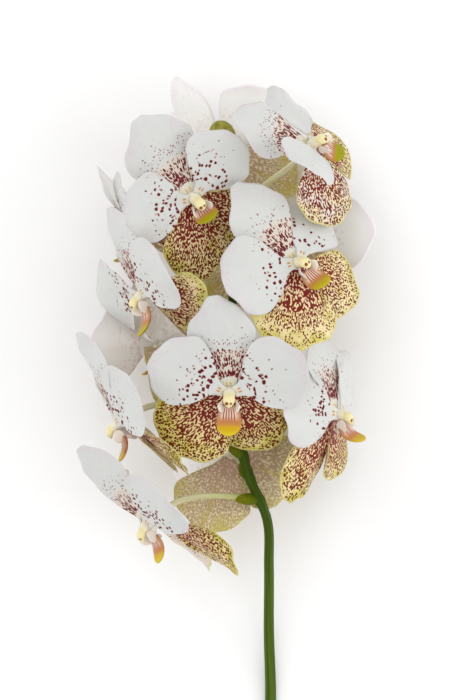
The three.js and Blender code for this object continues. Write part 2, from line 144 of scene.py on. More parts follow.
# %% What is each bloom's own in colour
TONES = {
    "usual": (0.5, 0.0, 0.3), "front": (0.75, 0.04, 0.0), "front lowRight": (0.8, 0.09, 0.0),
    "upper_left": (0.4, 0.05, 0.8), "upper_right": (0.35, -0.04, 0.4),
    "upper_right right": (0.35, -0.5, 0.4), "left": (0.3, -0.04, 0.5),
    "lower_left": (0.6, 0.05, 0.1), "bottom": (0.6, 0.0, 0.1),
    "bottom lowLeft": (-0.5, -0.35, 0.0), "right": (0.5, 0.07, 0.1),
    "right right": (0.5, -0.8, 0.0), "top_right": (0.3, 0.05, 1.0),
    "top_right left": (0.5, -0.8, 0.0), "top_right right": (0.5, -0.8, 0.0),
    "top_right lowLeft": (-0.35, 0.0, 0.0),
}


def tones_of(bloom, part=""):
    name = bloom["name"]
    return TONES.get(f"{name} {part}", TONES.get(name, TONES["usual"]))


# %% From a bloom's own axes, X to its right, Y up and Z out of its face, to the table's
def axes_of(bloom):
    yaw, tip = (math.radians(a) for a in bloom["face"])
    out = Vector((math.sin(yaw) * math.cos(tip), math.sin(tip), math.cos(yaw) * math.cos(tip)))
    up = (Vector((0, 1, 0)) - out * out.y).normalized()
    up = Matrix.Rotation(math.radians(bloom["roll"]), 3, out) @ up
    turn = np.array([up.cross(out), up, out]).T
    return turn, np.array(bloom["at"], float)


def in_world(bloom, points):
    turn, at = axes_of(bloom)
    return points @ turn.T + at


# %% [markdown]
# ## From points to a piece
# Every piece is a mesh of points that are worked out with numpy, which is quick and keeps the
# shapes exact. One function turns them into an object: it lifts anything that would dip through
# the table, makes coincident points one, turns the faces outward, shades it smooth, and stores
# named attributes on the points, such as how far a point lies from the claw. The materials read
# these attributes, so that veins and spots follow the petals wherever they bend.

# %% Make a piece and say which node it stands for
TABLE_CLEAR = 0.05  # mm that the lowest petals stay above the table
SAME_PLACE = 0.001  # mm within which two points are one


def make_piece(name, points, faces, material, node, slot, **attributes):
    placed = np.array(points, float)
    placed[:, 2] = np.maximum(placed[:, 2], TABLE_CLEAR)
    mesh = bpy.data.meshes.new(name)
    mesh.from_pydata((placed * MM).tolist(), [], faces)
    for key, values in attributes.items():
        layer = mesh.attributes.new(key, "FLOAT_VECTOR", "POINT")
        layer.data.foreach_set("vector", np.ascontiguousarray(values, dtype=np.float32).ravel())
    shell = bmesh.new()
    shell.from_mesh(mesh)
    bmesh.ops.remove_doubles(shell, verts=shell.verts, dist=SAME_PLACE * MM)
    bmesh.ops.recalc_face_normals(shell, faces=shell.faces)
    if shell.calc_volume(signed=True) < 0:  # a thin curled sheet can come out inside out
        bmesh.ops.reverse_faces(shell, faces=shell.faces)
    shell.to_mesh(mesh)
    shell.free()
    mesh.polygons.foreach_set("use_smooth", [True] * len(mesh.polygons))
    mesh.materials.append(material)
    piece = bpy.data.objects.new(name, mesh)
    bpy.context.scene.collection.objects.link(piece)
    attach(piece, "root")
    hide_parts(node)
    return piece


def bloom_piece(bloom, name, points, faces, material, group, **attributes):
    """A piece whose points are in the bloom's own axes; its node and its slot have one word. The
    slot is not used.
    """
    return make_piece(f"{bloom['name']}_{name}", in_world(bloom, points), faces, material,
                      f"{bloom['name']}_{group}", group, **attributes)


# %% Faces for rows of points
def grid_faces(rows, columns, closed=False, start=0, flip=False):
    """Four-sided faces between rows of points, joined round if closed."""
    faces = []
    for j in range(rows - 1):
        for i in range(columns if closed else columns - 1):
            a, b = start + j * columns + i, start + j * columns + (i + 1) % columns
            face = (a, b, b + columns, a + columns)
            faces.append(face[::-1] if flip else face)
    return faces


def tube(rings, flip=False):
    """The points of a stack of rings, and faces that close it all round and at both ends."""
    points = np.array(rings)
    rows, sides = points.shape[:2]
    faces = grid_faces(rows, sides, closed=True, flip=flip)
    for cap in (tuple(range(sides))[::-1], tuple(range((rows - 1) * sides, rows * sides))):
        faces.append(cap[::-1] if flip else cap)
    return points.reshape(-1, 3), faces


# %% [markdown]
# ## Materials
# Petals, sepals and stem are living tissue: water-filled cells under a thin waxy skin. Light goes
# in, scatters about and comes out a little further on, so every one of these materials has some
# subsurface scattering, and the wax gives a soft, broad gloss. Colours are written as sRGB hex
# values. One function turns them to the linear values that Blender computes with, and one other
# adds a node with its settings and links.

# %% Colour and node helpers
def linear(hex_colour):
    channels = [int(hex_colour[i:i + 2], 16) / 255 for i in (1, 3, 5)]
    bent = [c / 12.92 if c <= 0.04045 else ((c + 0.055) / 1.055) ** 2.4 for c in channels]
    return (*bent, 1.0)


def add(kind, inputs=(), tree=None, **settings):
    """Adds a shader node; a kind in capitals is an operation of the Math node.

    Inputs are a list in order or a dict by name, of values, nodes or sockets. The node goes into
    the tree that its inputs are in, unless a tree is given.
    """
    if kind.isupper():
        kind, settings = "Math", {"operation": kind}
    inputs = dict(inputs if isinstance(inputs, dict) else enumerate(inputs))
    links = {key: value.outputs[0] if isinstance(value, bpy.types.Node) else value
             for key, value in inputs.items()
             if isinstance(value, (bpy.types.Node, bpy.types.NodeSocket))}
    tree = tree or next(iter(links.values())).id_data
    node = tree.nodes.new("ShaderNode" + kind)
    for name, value in settings.items():
        setattr(node, name, value)
    if "Scale" in node.inputs:
        node.inputs["Scale"].default_value = 1.0  # places come counted in cells of a real size
    for key, value in inputs.items():
        if key in links:
            tree.links.new(links[key], node.inputs[key])
        else:
            node.inputs[key].default_value = value
    return node


# %% Start and end of a material
def new_material(name, roughness, subsurface, radius, coat=0.0, specular=0.2):
    """A material with living tissue's constants on its shader, ready for its colours."""
    material = bpy.data.materials.new(name)
    material.use_nodes = True
    shader = material.node_tree.nodes["Principled BSDF"]
    for socket, value in {
            "Roughness": roughness, "IOR": 1.42,  # wax on plant tissue
            "Subsurface Weight": subsurface, "Subsurface Radius": radius, "Subsurface Scale": 0.001,
            "Specular IOR Level": specular,  # low, because cell domes break up the wax
            "Coat Weight": coat, "Coat Roughness": 0.3}.items():
        shader.inputs[socket].default_value = value
    return material, material.node_tree


def dress(material, colour, height, strength, micrometres):
    """Gives the material its colour and a relief that is so many micrometres high."""
    bump = add("Bump", {"Strength": strength, "Distance": micrometres * 1e-6, "Height": height})
    tree = material.node_tree
    shader = tree.nodes["Principled BSDF"]
    tree.links.new(colour.outputs[0], shader.inputs["Base Color"])
    tree.links.new(bump.outputs["Normal"], shader.inputs["Normal"])
    return material


# %% Masks, which are shares of 0 to 1, and what is laid over a ground by them
def between(value, low, high):
    """0 below low, 1 above high, with a soft step; swapped limits turn it round."""
    return add("MapRange", [value, low, high, 0.0, 1.0], interpolation_type="SMOOTHSTEP")


def both(*masks):
    product = masks[0]
    for mask in masks[1:]:
        product = add("MULTIPLY", [product, mask])
    return product


def zone(value, starts, full, falls, ends):
    """1 from full to falls, with a soft step on either side."""
    return both(between(value, starts, full), between(value, ends, falls))


def painted(ground, *layers):
    """The ground with layers laid over it in turn, each a share of 0 to 1 and a colour."""
    for share, colour in layers:
        under, over = (linear(c) if isinstance(c, str) else c for c in (ground, colour))
        ground = add("MixRGB", [share, under, over])
    return ground


# %% [markdown]
# ### Marks that follow the veins
# The dark red marks are cells filled with pigment, in patches a millimetre or two long that lie
# along the veins. A Voronoi texture scatters one point in each cell of a grid. A mark is what lies
# nearer to that point than its radius, and the cell's own random colour decides whether there is
# a mark at all and how large it is, so one texture draws every patch. The grid has to fan out as
# the veins do, but its cells shouldn't grow with the fan. So it is cut into rings, each nearly
# twice as wide as the one inside it, and every ring has its own count of cells round the claw.

# %% Where a point lies on its blade
def vector_of(tree, attribute):
    return add("Attribute", tree=tree, attribute_name=attribute).outputs["Vector"]


def values_of(tree, attribute):
    return add("SeparateXYZ", [vector_of(tree, attribute)]).outputs


def blade_places(tree):
    """What the blade's attributes say at a point, as separate values; distances are in mm."""
    across, along, from_claw = values_of(tree, "flat")
    vein, way, face = values_of(tree, "fan")
    seed, turn, _ = values_of(tree, "own")
    yellow, cover, _ = values_of(tree, "tones")
    return SimpleNamespace(across=across, along=along, from_claw=from_claw, vein=vein, way=way,
                           face=face, seed=seed, turn=turn, yellow=yellow, cover=cover)


# %% Places counted in cells; each layer of marks has a number, so that no two are alike
def flat_cells(at, mm, layer):
    """A place counted in cells of so many mm, laid square to the midrib."""
    return add("CombineXYZ", [add("DIVIDE", [at.across, mm]), add("DIVIDE", [at.along, mm]),
                              add("ADD", [at.seed, layer])])


RING, WIDER = 6.0, 1.9  # mm from the claw to the first ring's end; how much wider the next one is
WANDER = 2.0  # mm by which a ring's edge wanders, so that it doesn't show
APART = 7.3  # steps between the random draws of one ring and the next


def fan_cells(at, wide, long, layer):
    """A place counted in cells of wide by long mm that follow the fan of the veins."""
    wander = add("TexNoise", {"Vector": flat_cells(at, 4.0, layer), "Detail": 1.0})
    out = add("ADD", [at.from_claw, add("MULTIPLY", [wander, WANDER])])
    rings = add("DIVIDE", [add("MAXIMUM", [out, 1.0]), RING])
    ring = add("FLOOR", [add("LOGARITHM", [rings, WIDER])])
    middle = add("POWER", [WIDER, add("ADD", [ring, 0.5])])
    draw = add("ADD", [add("MULTIPLY", [ring, APART]), layer])
    return add("CombineXYZ", [
        add("MULTIPLY", [at.turn, add("MULTIPLY", [middle, RING / wide])]),
        add("DIVIDE", [at.from_claw, long]), add("ADD", [at.seed, draw])])


# %% How deep a point lies inside a mark
def marks(cells, radius, chance, ragged=0.1, squareness=2.0):
    """Depth in cells, below 0 outside a mark; radius in cells, chance of a mark from 0 to 1."""
    edge = add("TexNoise", {"Vector": cells, "Scale": 1.9, "Detail": 0.0})
    wobble = add("MULTIPLY", [add("SUBTRACT", [edge, 0.5]), ragged * 4])
    grid = add("TexVoronoi", {"Vector": cells, "Randomness": 0.75, "Exponent": squareness},
               distance="MINKOWSKI")
    own = add("SeparateColor", [grid.outputs["Color"]])
    present = add("LESS_THAN", [own.outputs["Red"], chance])
    grown = add("MapRange", [own.outputs["Green"], 0.0, 1.0, 0.7, 1.15])
    size = add("ADD", [add("MULTIPLY", [grown, radius]), wobble])
    depth = add("SUBTRACT", [size, grid.outputs["Distance"]])
    return add("SUBTRACT", [depth, add("SUBTRACT", [1.0, present])])


# %% How deep a point lies inside a worm
def worms(cells, share):
    """Noise of one size, cut off at a height, leaves winding patches all as wide as another."""
    height = add("TexNoise", {"Vector": cells, "Detail": 0.0})
    spread = add("MULTIPLY", [add("SUBTRACT", [height, 0.5]), 3.0])
    return add("ADD", [spread, add("SUBTRACT", [share, 0.5])])


# %% Side veins and the grain of the skin
def tissue_relief(at):
    """Side veins 0.5 mm apart, coarser than real ones so that they show, and a height with them."""
    line = add("TexNoise", {"Vector": fan_cells(at, 0.5, 7.0, 5.0), "Detail": 1.0})
    grain = add("TexNoise", {"Vector": flat_cells(at, 0.4, 6.0), "Detail": 2.0})
    return line, add("ADD", [line, add("MULTIPLY", [grain, 0.5])])


# %% [markdown]
# ### White petal tissue
# The upper sepal and the petals are white because air between their cells scatters all light
# alike. They are never as bright as paper: some light goes through. Towards the claw they turn
# cream, towards the margin a breath of lilac, with dust-fine pink specks. The upper sepal's marks
# are streaks that crowd together close to the column, with dark dashes along the sides; the
# petals' are fewer, larger and squarer, with a reddish edge where the pigment thins out. Two
# yellow or orange dabs on each claw guide an insect in. The back is painted near-white, much
# lighter than the front, as painted light that stands in for light shining through the petal
# and filling the shade under the front blooms; on it the marks show through, faint and pink.

# %% The pair of dabs on a blade's claw
def claw_dabs(at, aside, ahead):
    """Two dabs, twice as long as wide, so many mm beside the midrib and ahead of the claw."""
    half = add("CombineXYZ", [add("ABSOLUTE", [at.across]), add("MULTIPLY", [at.along, 0.5])])
    away = add("VectorMath", [half, (aside, ahead * 0.5, 0.0)], operation="DISTANCE")
    return between(away.outputs["Value"], 0.62, 0.3)


# %% White petal tissue with dark red marks
WHITE, CREAM, LILAC = "#d0d1ce", "#d9d5c4", "#d0cbcc"
MAROON, HALO = "#601614", "#b8604c"


def white_tissue(name, streaked):
    """Zones are in mm from the claw; cells too, wide by long; the radii of marks are in cells."""
    material, tree = new_material(name, 0.5, 0.35, (0.4, 0.4, 0.4))
    at = blade_places(tree)
    out = at.from_claw
    line, height = tissue_relief(at)
    cloud = add("TexNoise", {"Vector": flat_cells(at, 10.0, 9.0), "Detail": 1.0})
    margin = between(at.way, 0.78, 1.02)
    if streaked:
        here = zone(out, 4.8, 6.6, 17.0, 21.0)
        large = marks(fan_cells(at, 0.8, 2.2, 1.0), add("MapRange", [out, 5.5, 19.0, 0.74, 0.38]),
                      both(here, 0.9), 0.07)
        dots = marks(fan_cells(at, 1.2, 1.5, 2.0), 0.31,
                     both(zone(out, 14.0, 17.0, 21.0, 30.0), 0.85))
        sides = between(add("ABSOLUTE", [at.vein]), 0.7, 0.85)
        dashes = marks(fan_cells(at, 0.6, 1.6, 8.0), 0.6,
                       both(sides, zone(out, 5.5, 7.0, 11.0, 15.0), 0.6), 0.08)
        blush = [(both(here, 0.45), "#dcc4ac")]
        dashed = [(between(dashes, -0.05, 0.05), "#5a1c14")]
        dabs, dab, far_cream, through = claw_dabs(at, 0.9, 2.2), "#d4b254", 9.0, 0.16
        outer = between(at.way, 0.45, 0.8)
    else:
        here = both(zone(out, 6.5, 7.5, 15.0, 24.0), between(at.cover, -0.6, -0.3))
        large = marks(fan_cells(at, 1.85, 2.2, 1.0), add("MapRange", [out, 7.0, 20.0, 0.47, 0.27]),
                      both(here, 0.74), 0.04, 3.0)
        dots = marks(flat_cells(at, 1.7, 2.0), 0.2, both(zone(out, 11.0, 15.0, 18.0, 31.0), 0.2))
        blush, dashed = [], []
        dabs, dab, far_cream, through = claw_dabs(at, 0.75, 2.8), "#c4823c", 3.4, 0.3
        outer = margin
    specks = marks(flat_cells(at, 0.95, 4.0), 0.2, both(outer, between(cloud, 0.4, 0.55), 0.5))
    pigment = painted("#681c20", (between(out, 8.0, 14.0), MAROON))
    front = painted(
        WHITE, (both(margin, between(cloud, 0.35, 0.6)), LILAC),
        (both(between(line, 0.5, 0.8), 0.22), "#bfc1c2"),
        (between(out, far_cream, 2.5), CREAM), *blush,
        (both(between(specks, -0.05, 0.05), 0.5), "#b98c90"),
        (both(between(dots, -0.04, 0.04), 0.85), "#8c3c36"),
        (both(between(large, -0.09, 0.0), 0.5), HALO),
        (between(large, -0.02, 0.04), pigment), *dashed, (both(dabs, 0.85), dab))
    # Painted light: the back is near-white, far lighter than the front's white, to stand in for
    # light that shines through the thin petal and fills the shade under the front blooms.
    back = painted(
        "#fafaf8", (margin, "#f0ebee"), (both(between(large, -0.2, 0.15), through), "#c88c90"),
        (both(between(specks, -0.1, 0.05), 0.35), "#b98c70"))
    colour = painted(back, (between(at.face, -0.2, 0.2), front))
    return dress(material, colour, height, 0.3, 80)


SEPAL_TISSUE = white_tissue("white upper sepal tissue, streaked", True)
PETAL_TISSUE = white_tissue("white petal tissue, spotted", False)

# %% [markdown]
# ### Mottled sepal tissue
# The two lower sepals are cream, warmer at the claw, and yellow-green towards the rim. They are
# covered in dark red marks about a millimetre wide: worms along the veins, which melt together
# near the claw, and single dots at the rim. Noise that is cut off at a height draws the worms, and
# the height falls on the way in, so that they cover more. The back shows the same worms through a
# pale skin, faded to brown, with the yellow-green rim and midrib.

# %% Mottled sepal tissue
def mottled_tissue(name):
    material, tree = new_material(name, 0.46, 0.15, (0.3, 0.3, 0.3))
    at = blade_places(tree)
    _, height = tissue_relief(at)
    cloud = add("TexNoise", {"Vector": flat_cells(at, 8.0, 9.0), "Detail": 2.0})
    cloudy = add("MULTIPLY", [add("SUBTRACT", [cloud, 0.5]), 1.2])
    green = both(between(add("ADD", [at.way, cloudy]), 0.7, 1.15),
                 add("MapRange", [at.yellow, -0.5, 0.7, 0.1, 1.0]))
    yellow = add("ADD", [
        at.yellow, add("MapRange", [cloud, 0.35, 0.65, -0.25, 0.25])])
    crowding = add("MapRange", [at.from_claw, 4.0, 24.0, 0.85, 0.56])
    worm = worms(fan_cells(at, 0.64, 1.3, 1.0), add("ADD", [at.cover, crowding]))
    dot = marks(fan_cells(at, 0.92, 1.25, 2.0), add("ADD", [at.cover, 0.5]), 0.98, 0.09)
    outer = add("ADD", [at.way, add("MULTIPLY", [cloud, 0.3])])
    depth = add("Mix", {"Factor": between(outer, 0.8, 1.0), "A": worm, "B": dot})
    dark = painted(
        "#741a1c", (between(at.way, 0.2, 0.6), "#762010"), (between(at.way, 0.5, 0.95), "#622a08"),
        (both(between(depth, 0.25, 0.02), 0.5), "#8e4330"))
    warm = both(between(at.way, 0.85, 0.3), between(yellow, -0.6, 0.1), 0.55)
    front = painted(
        "#ddd0c4", (between(yellow, -0.6, 0.0), "#e6d5a6"),
        (between(yellow, 0.0, 0.9), "#dcca86"), (warm, "#e6c8a8"), (green, "#bdb944"),
        (between(depth, -0.04, 0.07), dark), (both(between(at.way, 0.965, 0.99), 0.85), "#d9cf8c"))
    faint = painted("#b98a80", (between(at.way, 0.2, 0.75), "#a98c62"))
    midrib = both(between(add("ABSOLUTE", [at.across]), 1.6, 0.3), between(at.way, 0.15, 0.6), 0.5)
    back = painted(
        "#eee0c0", (both(between(worm, -0.45, 0.35), 0.72), faint),
        (both(green, between(at.way, 0.5, 0.9), 0.85), "#cfc468"), (midrib, "#c9b552"))
    colour = painted(back, (between(at.face, -0.2, 0.2), front))
    return dress(material, colour, height, 0.3, 80)


MOTTLED_TISSUE = mottled_tissue("cream sepal tissue, mottled dark red")

# %% [markdown]
# ### Column, lip, stalk and stem
# The column is waxy and cream, with a pale yellow cap that carries two brown dots. The lip is
# cream and tan at its throat, where fine dark red stripes lead in, then orange, and ends in a
# bright yellow or green scoop; underneath it is pink with red veins. Its side lobes are white and
# let light through. These pieces carry the place of each point in the bloom's own axes, so a
# stripe or a dot is put where it is on the real one.

# %% Waxy column with its dotted cap, and the white side lobes
CAP_DOTS = ((-0.95, 0.8, "#8c4418"), (0.95, 0.6, "#8a6a24"))  # aside in mm, radius, brown


def wax(name, cap, body):
    material, tree = new_material(name, 0.36, 0.25, (1.0, 0.8, 0.5), coat=0.15)
    place = vector_of(tree, "bloom_mm")
    layers = [(between(values_of(tree, "bloom_mm")[2], 0.8, 4.6), cap)]
    for aside, size, brown in CAP_DOTS:
        away = add("VectorMath", [place, (aside, -2.6, 6.9)], operation="DISTANCE")
        layers.append((between(away.outputs["Value"], size + 0.25, size - 0.2), brown))
    grain = add("TexNoise", {"Vector": place, "Scale": 1.6, "Detail": 3.0})
    return dress(material, painted(body, *layers), grain, 0.2, 100)


COLUMN_WAX = wax("cream orchid column, waxy", "#e9deac", "#e4dfd2")
LOBE_WAX = wax("white lip lobe, waxy", "#e9e0d6", "#e6dccf")


# %% Striped lip
def striped_lip(name):
    """Across runs from -1 to 1 over the tongue, way from 0 at its root to 1 at its tip."""
    material, tree = new_material(name, 0.42, 0.15, (0.8, 0.5, 0.3), coat=0.1)
    across, way, above = values_of(tree, "fan")
    aside = add("ABSOLUTE", [across])
    tip_green = values_of(tree, "tones")[2]
    wave = add("COSINE", [add("MULTIPLY", [across, 27.0])])
    stripes = both(between(wave, 0.15, 0.7), between(way, 0.54, 0.38), between(aside, 0.66, 0.5))
    inner = painted(
        "#dcc2ac", (between(aside, 0.55, 0.95), "#b6865c"),
        (between(way, 0.3, 0.52), "#bd7c44"), (between(way, 0.55, 0.74), "#cea40e"),
        (between(way, 0.72, 0.95), "#d4ba1c"),
        (both(tip_green, between(way, 0.42, 0.7)), "#9a9a12"), (stripes, "#98182e"))
    along = add("CombineXYZ", [add("MULTIPLY", [across, 9.0]), add("MULTIPLY", [way, 3.0]), 0.0])
    veins = add("TexNoise", {"Vector": along, "Detail": 2.0})
    under = painted(
        "#c88e74", (both(between(veins, 0.48, 0.62), 0.7), "#8a362c"),
        (between(way, 0.45, 0.72), "#c89c18"), (both(tip_green, between(way, 0.5, 0.8)), "#868a14"))
    grain = add("TexNoise", {"Vector": vector_of(tree, "bloom_mm"), "Scale": 1.2, "Detail": 3.0})
    return dress(material, painted(under, (above, inner)), grain, 0.3, 150)


LIP_TISSUE = striped_lip("pink lip tissue, striped, yellow rim")

# %% [markdown]
# ### Green skins
# Stalks turn from cream-white at the bloom to green at the stem. The stem is a smooth, deep green
# rod, a little yellower towards its cut end, with fine lengthwise lines. Bracts and the bud are
# olive. All four are one skin with other colours, so one function makes them.

# %% Stalk, stem, bract and bud skins
def green_skin(name, near, far, shade, lines, roughness):
    """Colours at the start and the end of the way; lines is how often the streaks go round."""
    material, tree = new_material(name, roughness, 0.06, (0.4, 0.5, 0.2), specular=0.12)
    place = values_of(tree, "fan")
    drawn_out = add("CombineXYZ", [
        add("MULTIPLY", [value, times]) for value, times in zip(place, (lines, 5.0, lines))])
    streak = add("TexNoise", {"Vector": drawn_out, "Detail": 3.0})
    colour = painted(near, (between(place[1], 0.0, 1.0), far),
                     (both(between(streak, 0.4, 0.65), 0.75), shade))
    return dress(material, colour, streak, 0.3, 200)


STALK_SKIN = green_skin("flower stalk skin, cream to green",
                        "#e4e0c8", "#b4b86c", "#c9c48e", 2.5, 0.42)
STEM_SKIN = green_skin("flower stem skin, deep green", "#50641a", "#344c08", "#283e04", 3.5, 0.4)
BRACT_SKIN = green_skin("bract skin, olive green", "#4c5c06", "#7c7c0c", "#5c6604", 2.0, 0.45)
BUD_SKIN = green_skin("closed bud skin, olive", "#7d7a2c", "#9a9440", "#6c6a26", 2.0, 0.5)
print("materials:", [material.name for material in bpy.data.materials])

# %% [markdown]
# ## Blades
# A petal is a thin sheet with a narrow claw. Its veins fan out from the claw to the margin, so the
# mesh is laid out as a fan too: each column of points is one vein. The flat fan is bent along an
# arc, curled a little across, furrowed over the midrib, raised in soft billows and waved along the
# margin. The two faces meet in a thin edge, as petals do, and the claw is closed as well.

# %% The margin of an outline, evenly spaced from claw corner to claw corner
ACROSS, ALONG = 80, 28  # cells across a blade's veins and along them


def smooth_through(stations, per_span=24):
    """A Catmull-Rom line through the points."""
    p = np.array(stations, float)
    p = np.vstack([p[:1], p, p[-1:]])
    t = np.linspace(0, 1, per_span, endpoint=False)[:, None]
    spans = []
    for a, b, c, d in zip(p, p[1:], p[2:], p[3:]):
        v0, v1 = (c - a) / 2, (d - b) / 2
        spans.append((2 * b - 2 * c + v0 + v1) * t ** 3
                     + (3 * c - 3 * b - 2 * v0 - v1) * t ** 2 + v0 * t + b)
    return np.vstack([*spans, p[-1:]])


def evenly(line, shares):
    """Points of a line at shares of its length."""
    steps = np.linalg.norm(np.diff(line, axis=0), axis=1)
    run = np.concatenate([[0], np.cumsum(steps)])
    return np.stack([np.interp(shares * run[-1], run, line[:, k])
                     for k in range(line.shape[1])], -1)


# %% A flat blade
UNEVEN = 0.03  # share by which a margin departs from its curve, because no real one is perfect


def flat_fan(kind):
    """Flat places of the blade's points: rows from claw to margin, columns along the veins."""
    half = OUTLINE[kind]
    line = smooth_through([*half, *[(x, -y) for x, y in half[-2::-1]]])
    vein = np.linspace(1, -1, ACROSS + 1)[None, :]
    margin = evenly(line, (1 - vein[0]) / 2)
    right = line[:len(line) // 2 + 1]
    way = np.linspace(0, 1, ALONG + 1)[:, None] ** 0.85  # rows lie closer towards the margin
    x = np.maximum(margin[None, :, 0], 0) * way
    width = np.interp(x, right[:, 0], right[:, 1])
    reached = vein * width * (1 - way ** 2) + margin[None, :, 1] * way ** 2
    limit = width * (np.abs(vein) * (1 - way) + way)
    y = np.sign(reached) * np.minimum(np.abs(reached), limit)
    rough = 1 + UNEVEN * way ** 6 * np.sin(vein * 17 + kind.count("a")) * np.sin(vein * 5.3 + 1)
    return x * rough, y * rough, vein + 0 * x, way + 0 * x, half[-1][0], max(w for _, w in half)


for kind in OUTLINE:
    x, y, *_, length, widest = flat_fan(kind)
    print(kind, "length", length, "width", round(2 * float(np.abs(y).max()), 1), "mm")

# %% Stand a flat blade up in its bloom
FOLDS = 3  # half waves from the midrib to a side's margin
GROOVE, GROOVE_WIDTH = 0.6, 3.0  # mm, the furrow over the midrib
VEINS, VEIN_HEIGHT = 16, 0.05  # raised main veins on each side of the midrib, and mm
RUFFLE, BILLOW = 0.22, 0.3  # mm, the fine ruffle of the margin and the soft swells inside it


def bent_blade(blade, x, y, vein, way, length, widest, lift):
    """Places of the blade's points in the bloom's axes, lifted off its middle surface."""
    long, wide = blade.get("long", 1), blade.get("wide", 1)
    t = np.clip(x / length, 0, 1)
    y = y * wide
    turn, start = math.radians(blade["bend"]), math.radians(blade["pitch"])
    slope = start + turn * t
    arc = length * long / turn
    reach = arc * (np.sin(slope) - math.sin(start))
    rise = arc * (math.cos(start) - np.cos(slope))
    radius = widest * wide / math.radians(blade["curl"])
    side = radius * np.sin(y / radius)
    free = np.clip(3 * t, 0, 1)  # the claw is stiff
    waved = blade["wave"] * way ** 3 * np.sin(math.pi * FOLDS * vein + blade["phase"])
    ruffle = RUFFLE * way ** 8 * np.sin(vein * 23 + 3 * blade["phase"])
    veins = VEIN_HEIGHT * np.cos(VEINS * math.pi * vein) * np.sin(math.pi * way ** 0.7)
    billow = BILLOW * np.sin(7 * vein + 5 * blade["phase"]) * np.sin(math.pi * way ** 1.4)
    furrow = GROOVE * np.exp(-(y / GROOVE_WIDTH) ** 2) * np.clip(4 * t, 0, 1) * np.sqrt(1 - t)
    height = (radius * (1 - np.cos(y / radius)) + (waved + ruffle + veins + billow) * free
              - furrow + lift)
    angle = math.radians(blade["angle"])
    ahead = np.array([-math.sin(angle), math.cos(angle), 0])
    out = np.array([0, 0, 1.0])
    across = np.cross(out, ahead)
    normal = -np.sin(slope)[..., None] * ahead + np.cos(slope)[..., None] * out
    c, s = (f(math.radians(blade.get("twist", 0)) * t) for f in (np.cos, np.sin))
    return (np.array(blade["claw"]) + reach[..., None] * ahead + rise[..., None] * out
            + (side * c - height * s)[..., None] * across
            + (side * s + height * c)[..., None] * normal)


# %% One blade as a closed, thin-edged piece
THICK = 0.7  # mm in the middle of a blade; the edge is sharp
COUNT = ACROSS + 1
NAMES = {"dorsal": "upper_sepal", "left": "petal_left", "right": "petal_right",
         "lowLeft": "lower_sepal_left", "lowRight": "lower_sepal_right"}
TISSUES = {"dorsal": (SEPAL_TISSUE, "petals"), "petal": (PETAL_TISSUE, "petals"),
           "lateral": (MOTTLED_TISSUE, "sepals")}


def blade_piece(bloom, part, seed):
    blade = {**BLADES[part], **bloom.get(part, {})}
    x, y, vein, way, length, widest = flat_fan(blade["kind"])
    thick = THICK / 2 * np.sqrt(np.clip(1.02 - way ** 5, 0, 1)) + 0.02
    broad, far, none = y * blade.get("wide", 1), x * blade.get("long", 1), 0 * x
    sheets = [bent_blade(blade, x, y, vein, way, length, widest, face * thick) for face in (-1, 1)]
    layers = {
        "flat": [(broad, far, np.hypot(broad, far))] * 2,
        "fan": [(vein, way, none - 1), (vein, way, none + 1)],
        "own": [(seed + none, np.arctan2(broad, far + 2), none)] * 2,
    }
    attributes = {key: np.reshape([np.stack(values, -1) for values in pair], (-1, 3))
                  for key, pair in layers.items()}
    rows = ALONG + 1
    under = rows * COUNT
    faces = grid_faces(rows, COUNT, flip=True) + grid_faces(rows, COUNT, start=under)
    loop = [j * COUNT for j in range(rows)] + [ALONG * COUNT + i for i in range(1, COUNT)]
    loop += [j * COUNT + ACROSS for j in range(ALONG - 1, -1, -1)] + [*range(ACROSS)][::-1]
    faces += [(a, a + under, b + under, b) for a, b in zip(loop, loop[1:])]
    tissue, group = TISSUES[blade["kind"]]
    return bloom_piece(bloom, NAMES[part], np.reshape(sheets, (-1, 3)), faces, tissue, group,
                       tones=np.tile(tones_of(bloom, part), (2 * x.size, 1)), **attributes)


made = [blade_piece(bloom, part, 13.7 * b + 5.3 * p)  # no two blades have the same seed
        for b, bloom in enumerate(BLOOMS) for p, part in enumerate(BLADES)]
print("blades:", len(made), "triangles each:", 2 * len(made[0].data.polygons))

# %% [markdown]
# ## Column and cup
# In the middle of a bloom stands the column, where the flower's male and female parts are fused.
# It nods forward and ends in a rounded cap. Behind it the sepals grow from a short cup that goes
# over into the stalk. Both are turned shapes: a profile spun round the bloom's axis, the column's
# then pushed forward the further out it is.

# %% Spin a profile round the bloom's axis
ROUND = 28  # sides of a turned shape
NOD = 0.36  # how far the column leans for each millimetre of its length
DEEP, BEAK = 0.14, 0.7  # how much wider than round the column is, and its beak's length in mm


def around(sides):
    """Evenly spaced turns, once round."""
    return np.linspace(0, 2 * math.pi, sides, endpoint=False)


def turned(profile):
    line = smooth_through(profile, 6)
    r, z, turns = np.maximum(line[:, :1], 0.02), line[:, 1:], around(ROUND)
    return tube(np.stack([r * np.cos(turns), r * np.sin(turns), z + 0 * r * turns], -1))


def column_points():
    points, faces = turned([
        (0.02, -2.6), (2.2, -2.5), (2.7, -1.6), (2.7, 0.0), (2.5, 1.4), (2.35, 2.8), (2.2, 3.7),
        (2.35, 4.4), (2.35, 5.4), (1.95, 6.5), (1.1, 7.0), (0.02, 7.1)])
    z = points[:, 2]
    points[:, 0] *= 1 + DEEP * np.clip(z / 3, 0, 1)
    points[:, 1] -= NOD * np.maximum(z - 1, 0)
    points[:, 1] -= BEAK * np.exp(-((z - 6.2) / 0.7) ** 2) * np.clip(-points[:, 1] - 3.0, 0, 1)
    return points, faces


def cup_points():
    return turned([(0.02, -7.4), (1.5, -7.3), (1.8, -6.4), (2.5, -5.2), (2.9, -4.2), (2.7, -3.2),
                   (1.6, -3.0), (0.02, -3.0)])


for bloom in BLOOMS:
    for maker, name, group in ((column_points, "column", "petals"), (cup_points, "cup", "sepals")):
        points, faces = maker()
        bloom_piece(bloom, name, points, faces, COLUMN_WAX, group, bloom_mm=points)
print("cup points:", len(points))

